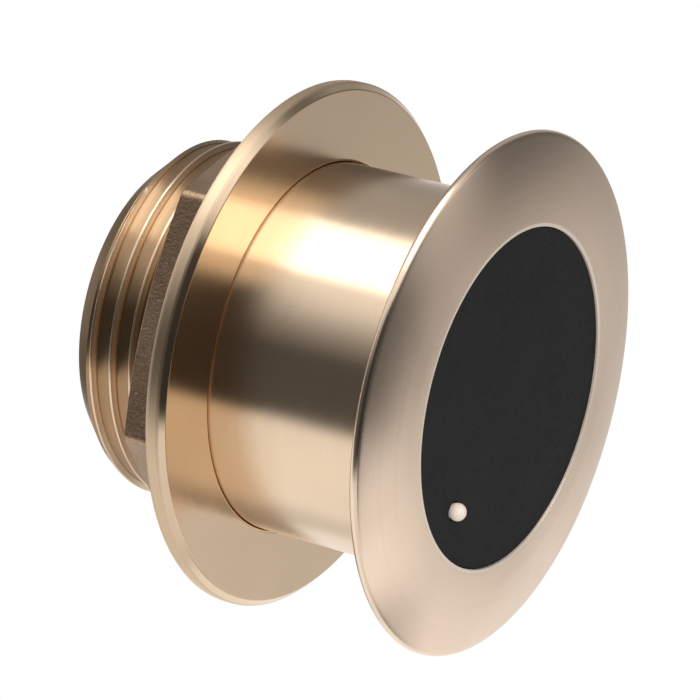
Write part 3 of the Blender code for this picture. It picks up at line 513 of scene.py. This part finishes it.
def make_rear_cap(material):
    """The moulded cap with its seal groove, its boss and the seat for the grommet."""
    face = CAP_HIGH.z - CAP_BOSS_HEIGHT
    groove = (CAP_LOW.z + face) / 2
    seat = GROMMET_LOW.z - GAP
    corners = [
        (INLET + GAP, seat),
        (INLET + GAP, CAP_LOW.z),
        (CAP_RADIUS, CAP_LOW.z, CAP_EDGE),
        (CAP_RADIUS, groove - CAP_GROOVE_HALF),
        (CAP_GROOVE, groove - CAP_GROOVE_HALF, CAP_GROOVE_EDGE),
        (CAP_GROOVE, groove + CAP_GROOVE_HALF, CAP_GROOVE_EDGE),
        (CAP_RADIUS, groove + CAP_GROOVE_HALF),
        (CAP_RADIUS, face, CAP_EDGE),
        (CAP_BOSS, face, CAP_BOSS_FILLET),
        (CAP_BOSS, CAP_HIGH.z, CAP_EDGE),
        (GROMMET_OUTER + GAP, CAP_HIGH.z, FINE_EDGE),
        (GROMMET_OUTER + GAP, seat),
        (INLET + GAP, seat),
    ]
    mesh = bmesh.new()
    add_columns(mesh, spun(rounded(corners), around(SIDES)))
    return piece("rear_cap_skin", mesh, material, "housing_body", "rear_cap")


def make_grommet(material):
    """The rubber bush that the cable would come through."""
    middle = (GROMMET_LOW.z + GROMMET_HIGH.z) / 2
    corners = [
        (INLET, middle),
        (INLET, GROMMET_LOW.z, FINE_EDGE),
        (GROMMET_OUTER, GROMMET_LOW.z, FINE_EDGE),
        (GROMMET_OUTER, GROMMET_HIGH.z, GROMMET_EDGE),
        (INLET, GROMMET_HIGH.z, GROMMET_EDGE),
        (INLET, middle),
    ]
    mesh = bmesh.new()
    add_columns(mesh, spun(rounded(corners), around(SMALL_SIDES)))
    return piece("cable_grommet_skin", mesh, material, "housing_body", "cable_grommet")


# Shader helpers

def new_tree(name):
    material = bpy.data.materials.new(name)
    material.use_nodes = True
    tree = material.node_tree
    return material, tree, tree.nodes["Principled BSDF"]


def wire(tree, source, target):
    """Links an output to an input, or sets the input where the source is a plain value."""
    if isinstance(source, bpy.types.NodeSocket):
        tree.links.new(source, target)
    else:
        target.default_value = source


def maths(tree, operation, first, second=0.0, clamp=False):
    node = tree.nodes.new("ShaderNodeMath")
    node.operation = operation
    node.use_clamp = clamp
    wire(tree, first, node.inputs[0])
    wire(tree, second, node.inputs[1])
    return node.outputs[0]


def spread(tree, value, low, high, to_low=0.0, to_high=1.0):
    """Maps a value smoothly from the range low to high onto the range to_low to to_high."""
    node = tree.nodes.new("ShaderNodeMapRange")
    node.interpolation_type = "SMOOTHSTEP"
    wire(tree, value, node.inputs["Value"])
    for socket, number in zip(node.inputs[1:5], (low, high, to_low, to_high)):
        wire(tree, number, socket)
    return node.outputs["Result"]


def blend(tree, factor, first, second):
    node = tree.nodes.new("ShaderNodeMix")
    node.data_type = "RGBA"
    wire(tree, factor, node.inputs["Factor"])
    wire(tree, first, node.inputs["A"])
    wire(tree, second, node.inputs["B"])
    return node.outputs["Result"]


def mix_values(tree, factor, first, second):
    node = tree.nodes.new("ShaderNodeMix")
    wire(tree, factor, node.inputs["Factor"])
    wire(tree, first, node.inputs["A"])
    wire(tree, second, node.inputs["B"])
    return node.outputs["Result"]


def noise(tree, vector, scale, detail=3.0, roughness=0.5, flat=None):
    """Noise in three dimensions, or along the one value given as flat."""
    node = tree.nodes.new("ShaderNodeTexNoise")
    if flat is not None:
        node.noise_dimensions = "1D"
        wire(tree, flat, node.inputs["W"])
    else:
        wire(tree, vector, node.inputs["Vector"])
    node.inputs["Scale"].default_value = scale
    node.inputs["Detail"].default_value = detail
    node.inputs["Roughness"].default_value = roughness
    return node.outputs["Fac"]


def new_group(name, inputs, outputs):
    """A node group with named float inputs and outputs."""
    group = bpy.data.node_groups.new(name, "ShaderNodeTree")
    for label, default in inputs.items():
        socket = group.interface.new_socket(label, in_out="INPUT", socket_type="NodeSocketFloat")
        socket.default_value = default
    for label in outputs:
        group.interface.new_socket(label, in_out="OUTPUT", socket_type="NodeSocketFloat")
    return group, group.nodes.new("NodeGroupInput").outputs, group.nodes.new("NodeGroupOutput").inputs


def use_group(tree, group, **values):
    node = tree.nodes.new("ShaderNodeGroup")
    node.node_tree = group
    for label, value in values.items():
        wire(tree, value, node.inputs[label])
    return node.outputs


def bump(tree, height, strength, distance):
    node = tree.nodes.new("ShaderNodeBump")
    node.inputs["Strength"].default_value = strength
    node.inputs["Distance"].default_value = distance
    wire(tree, height, node.inputs["Height"])
    return node.outputs["Normal"]


def object_place(tree):
    return tree.nodes.new("ShaderNodeTexCoord").outputs["Object"]


def distance_from_axis(tree, split):
    square = maths(tree, "POWER", split["X"], 2.0)
    square = maths(tree, "ADD", square, maths(tree, "POWER", split["Y"], 2.0))
    return maths(tree, "SQRT", square)


# Shared effects

def turned_grain_group():
    """Fine rings left by the lathe: they follow the radius on faces and the height on cylinders."""
    group, given, made = new_group(
        "turned_grain", {"Scale": RING_SCALE}, ["Height", "Streaks", "Bands"])
    split = group.nodes.new("ShaderNodeSeparateXYZ")
    wire(group, object_place(group), split.inputs[0])
    path = maths(group, "ADD", distance_from_axis(group, split.outputs), split.outputs["Z"])
    along = maths(group, "MULTIPLY", path, given["Scale"])
    fine = noise(group, None, 1.0, detail=2.0, roughness=0.6, flat=along)
    broad = noise(group, None, BROAD_RING_SHARE, detail=3.0, roughness=0.6, flat=along)
    wire(group, fine, made["Height"])
    wire(group, spread(group, fine, 0.35, 0.75), made["Streaks"])
    wire(group, broad, made["Bands"])
    return group


def mottle_group():
    """Soft patches with a few small spots."""
    group, given, made = new_group("mottle", {"Size": 1.0}, ["Patches", "Spots", "Grit"])
    place = object_place(group)
    scaled = group.nodes.new("ShaderNodeVectorMath")
    scaled.operation = "SCALE"
    wire(group, place, scaled.inputs[0])
    wire(group, given["Size"], scaled.inputs["Scale"])
    wire(group, noise(group, scaled.outputs[0], PATCH_SCALE, detail=2.0), made["Patches"])
    spots = noise(group, scaled.outputs[0], SPOT_SCALE, detail=2.0)
    wire(group, spread(group, spots, 0.60, 0.70), made["Spots"])
    wire(group, noise(group, scaled.outputs[0], GRIT_SCALE, roughness=0.7), made["Grit"])
    return group


# Finishes

def turned_bronze(name, groups, base, roughness, tarnish, grain, metal=None):
    """Lathe-turned bronze with its rings and a little tarnish; base and roughness may vary over the piece."""
    material, tree, shader = new_tree(name)
    split = tree.nodes.new("ShaderNodeSeparateXYZ")
    wire(tree, object_place(tree), split.inputs[0])
    split = split.outputs
    rings = use_group(tree, groups["grain"])
    spots = use_group(tree, groups["mottle"], Size=0.6)
    patches = spread(tree, spots["Patches"], 0.25, 0.85)
    stain = maths(tree, "MULTIPLY", patches, tarnish, clamp=True)
    stain = maths(tree, "ADD", stain, maths(tree, "MULTIPLY", rings["Streaks"], STREAK_STAIN), clamp=True)
    wire(tree, blend(tree, stain, base(tree, split), DULL_GOLD), shader.inputs["Base Color"])
    rough = maths(
        tree, "ADD", roughness(tree, split), maths(tree, "MULTIPLY", rings["Bands"], BAND_ROUGHNESS))
    rough = maths(tree, "ADD", rough, maths(tree, "MULTIPLY", patches, PATCH_ROUGHNESS))
    wire(tree, rough, shader.inputs["Roughness"])
    wire(tree, metal(tree, split) if metal else 1.0, shader.inputs["Metallic"])
    shader.inputs["Anisotropic"].default_value = RING_STRETCH
    shader.inputs["Anisotropic Rotation"].default_value = RING_STRETCH_TURN
    tangent = tree.nodes.new("ShaderNodeTangent")
    tangent.direction_type = "RADIAL"
    tangent.axis = "Z"
    wire(tree, tangent.outputs["Tangent"], shader.inputs["Tangent"])
    wire(tree, bump(tree, rings["Height"], grain, RING_DEPTH), shader.inputs["Normal"])
    return material


def on_lip(tree, split):
    """1 on the narrow lip round the black face and on its inner wall."""
    near = spread(tree, distance_from_axis(tree, split), *LIP_TONE_RADII)
    return maths(tree, "MULTIPLY", near, spread(tree, split["Z"], *LIP_TONE_HEIGHTS))


def on_thread(tree, split):
    return spread(tree, split["Z"], *THREAD_TONE)


def housing_base(tree, split):
    """Gold on the stem, paler on the flange and its lip, and painted shade of dark brown in the thread's
    root.
    """
    on_flange = spread(tree, split["Z"], *FLANGE_TONE)
    tone = blend(tree, on_flange, GOLD, PALE_GOLD)
    tone = blend(tree, on_lip(tree, split), tone, LIP_GOLD)
    tone = blend(tree, on_thread(tree, split), tone, THREAD_GOLD)
    # Painted shade: the thread's root is darkened to dark brown near its bottom radius
    root_shade = spread(tree, distance_from_axis(tree, split), *ROOT_SHADE_RADII)
    return blend(tree, maths(tree, "MULTIPLY", root_shade, on_thread(tree, split)), tone, ROOT_SHADE_BROWN)


def housing_roughness(tree, split):
    rough = mix_values(tree, on_lip(tree, split), STEM_ROUGHNESS, LIP_ROUGHNESS)
    return mix_values(tree, on_thread(tree, split), rough, THREAD_ROUGHNESS)


def housing_metal(tree, split):
    """Bare metal, but for the lip, which the cast face's thin skin leaves half matt."""
    return spread(tree, on_lip(tree, split), 0.0, 1.0, 1.0, LIP_METAL)


def washer_base(tree, split):
    return WASHER_GOLD


def washer_roughness(tree, split):
    return spread(tree, split["Z"], *WASHER_RIM_START, WASHER_FACE_ROUGHNESS, WASHER_RIM_ROUGHNESS)


def cast_bronze(groups):
    """Raw sand-cast skin: dull, pitted, with paler grains."""
    material, tree, shader = new_tree("cast_bronze")
    skin = use_group(tree, groups["mottle"])
    tone = blend(tree, spread(tree, skin["Patches"], 0.35, 0.65), CAST_BROWN, CAST_TAN)
    tone = blend(tree, maths(tree, "MULTIPLY", skin["Spots"], 0.3), tone, CAST_GRAIN)
    wire(tree, tone, shader.inputs["Base Color"])
    shader.inputs["Metallic"].default_value = 1.0
    wire(tree, spread(tree, skin["Grit"], *GRIT_RANGE, 0.28, 0.42), shader.inputs["Roughness"])
    wire(tree, bump(tree, skin["Grit"], 0.5, 0.2 * MM), shader.inputs["Normal"])
    return material


def plain_finish(name, groups, light, dark, roughness, metallic=0.0, grit=0.15, size=1.0, gloss=0.5):
    """A matt or satin finish with soft patches and a fine grain."""
    material, tree, shader = new_tree(name)
    skin = use_group(tree, groups["mottle"], Size=size)
    tone = blend(tree, spread(tree, skin["Patches"], 0.35, 0.7), (*light, 1), (*dark, 1))
    wire(tree, tone, shader.inputs["Base Color"])
    rough = spread(tree, skin["Grit"], *GRIT_RANGE, roughness - 0.05, roughness + 0.05)
    wire(tree, rough, shader.inputs["Roughness"])
    shader.inputs["Metallic"].default_value = metallic
    shader.inputs["Specular IOR Level"].default_value = gloss
    wire(tree, bump(tree, skin["Grit"], grit, 0.1 * MM), shader.inputs["Normal"])
    return material


# Studio and camera

def board_group():
    """How much a soft-edged board at this direction and of these half sizes, in radians, covers a view."""
    group, given, made = new_group(
        "soft_board",
        {"Azimuth": 0.0, "Elevation": 0.0, "Half Width": 0.2, "Half Height": 0.2, "Softness": 0.1}, ["Cover"])
    way = group.nodes.new("ShaderNodeTexCoord").outputs["Generated"]
    for axis, label, sign in (("Z_AXIS", "Azimuth", -1.0), ("Y_AXIS", "Elevation", 1.0)):
        turn = group.nodes.new("ShaderNodeVectorRotate")
        turn.rotation_type = axis
        wire(group, way, turn.inputs["Vector"])
        wire(group, maths(group, "MULTIPLY", given[label], sign), turn.inputs["Angle"])
        way = turn.outputs["Vector"]
    split = group.nodes.new("ShaderNodeSeparateXYZ")
    wire(group, way, split.inputs[0])
    side = maths(group, "ABSOLUTE", maths(group, "ARCTAN2", split.outputs["Y"], split.outputs["X"]))
    rise = maths(group, "ABSOLUTE", maths(group, "ARCSINE", split.outputs["Z"]))
    cover = 1.0
    for angle, label in ((side, "Half Width"), (rise, "Half Height")):
        outer = maths(group, "ADD", given[label], given["Softness"])
        inner = maths(group, "SUBTRACT", given[label], given["Softness"])
        cover = maths(group, "MULTIPLY", cover, spread(group, angle, outer, inner))
    wire(group, cover, made["Cover"])
    return group


def make_world():
    """A white room whose darker sides are soft boards, which only the light and the reflections meet."""
    world = bpy.data.worlds.new("studio")
    bpy.context.scene.world = world
    world.use_nodes = True
    tree = world.node_tree
    background = tree.nodes["Background"]
    board = board_group()
    level = 1.0
    for azimuth, elevation, half_width, half_height, softness, strength in BOARDS:
        angles = [math.radians(v) for v in (azimuth, elevation, half_width, half_height, softness)]
        labels = ("Azimuth", "Elevation", "Half Width", "Half Height", "Softness")
        cover = use_group(tree, board, **dict(zip(labels, angles)))["Cover"]
        level = mix_values(tree, cover, level, strength)
    seen = tree.nodes.new("ShaderNodeLightPath").outputs["Is Camera Ray"]
    wire(tree, mix_values(tree, seen, level, 1.0), background.inputs["Strength"])
    background.inputs["Color"].default_value = WHITE


def make_lamp(name, azimuth, elevation, distance, width, height, power):
    """A soft box that faces the object from this direction."""
    data = bpy.data.lights.new(name, "AREA")
    data.shape = "RECTANGLE"
    data.size = width
    data.size_y = height
    data.energy = power
    lamp = bpy.data.objects.new(name, data)
    a = math.radians(azimuth)
    e = math.radians(elevation)
    away = Vector((math.cos(a) * math.cos(e), math.sin(a) * math.cos(e), math.sin(e)))
    lamp.location = away * distance + LAMP_AIM
    lamp.rotation_euler = away.to_track_quat("Z", "Y").to_euler()
    bpy.context.scene.collection.objects.link(lamp)
    return lamp


def make_floor():
    """A white floor that only the camera sees, from above, and that fades out into the white room."""
    mesh = bmesh.new()
    bmesh.ops.create_circle(mesh, cap_ends=True, segments=FLOOR_SIDES, radius=FLOOR_RADIUS)
    data = bpy.data.meshes.new("floor")
    mesh.to_mesh(data)
    mesh.free()
    floor = bpy.data.objects.new("floor", data)
    floor.location.z = FLOOR_HEIGHT
    bpy.context.scene.collection.objects.link(floor)
    floor.visible_diffuse = False
    floor.visible_glossy = False
    floor.visible_transmission = False
    floor.visible_shadow = False
    material, tree, shader = new_tree("floor_white")
    place = object_place(tree)
    away = tree.nodes.new("ShaderNodeVectorMath")
    away.operation = "LENGTH"
    wire(tree, place, away.inputs[0])
    under = tree.nodes.new("ShaderNodeNewGeometry").outputs["Backfacing"]
    fade = spread(tree, away.outputs["Value"], *FLOOR_FADE, 1.0, 0.0)
    wire(tree, maths(tree, "MULTIPLY", fade, maths(tree, "SUBTRACT", 1.0, under)), shader.inputs["Alpha"])
    grain = noise(tree, place, 40.0)
    wire(tree, blend(tree, grain, FLOOR_GREY, WHITE), shader.inputs["Base Color"])
    shader.inputs["Roughness"].default_value = 0.9
    shader.inputs["Specular IOR Level"].default_value = 0.1
    shader.inputs["Emission Color"].default_value = WHITE
    shader.inputs["Emission Strength"].default_value = 0.25
    data.materials.append(material)


def make_camera():
    """The camera at the photo's viewing angle."""
    data = bpy.data.cameras.new("camera")
    data.sensor_width = CAMERA_SENSOR
    data.lens = CAMERA_LENS
    data.clip_start = 0.01
    data.clip_end = 10.0
    camera = bpy.data.objects.new("camera", data)
    right = CAMERA_RIGHT.normalized()
    forward = CAMERA_FORWARD.normalized()
    right = (right - forward * right.dot(forward)).normalized()
    up = right.cross(forward)
    turn = Matrix((right, up, -forward)).transposed().to_4x4()
    camera.matrix_world = Matrix.Translation(CAMERA_PLACE) @ turn
    bpy.context.scene.collection.objects.link(camera)
    bpy.context.scene.camera = camera
    bpy.context.scene.view_settings.view_transform = "Standard"


def main():
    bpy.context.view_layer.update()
    groups = {"grain": turned_grain_group(), "mottle": mottle_group()}
    housing_bronze = turned_bronze(
        "turned_bronze", groups, housing_base, housing_roughness,
        tarnish=0.22, grain=0.2, metal=housing_metal)
    washer_bronze = turned_bronze(
        "washer_bronze", groups, washer_base, washer_roughness, tarnish=0.2, grain=0.1)
    make_housing(housing_bronze)
    make_washer(washer_bronze)
    make_nut(cast_bronze(groups))
    finishes = {}
    for slot, (light, dark, roughness, extras) in PLAIN_FINISHES.items():
        finishes[slot] = plain_finish(slot, groups, light, dark, roughness, **extras)
    for part in frame["record"]["subparts"]:
        if part["material_slot"] in finishes:
            node = frame["nodes"][part["node"]]
            node.data.materials.clear()
            node.data.materials.append(finishes[part["material_slot"]])
    make_probe(finishes["probe_bronze"])
    make_rear_cap(finishes["black_plastic"])
    make_grommet(finishes["seal_rubber"])
    make_world()
    make_lamp("key", azimuth=330, elevation=2, distance=0.9, width=0.6, height=1.45, power=4.4)
    fill = make_lamp("fill", azimuth=265, elevation=-40, distance=0.8, width=0.6, height=0.6, power=4.0)
    fill.visible_glossy = False
    make_floor()
    make_camera()
    bpy.context.view_layer.update()


main()
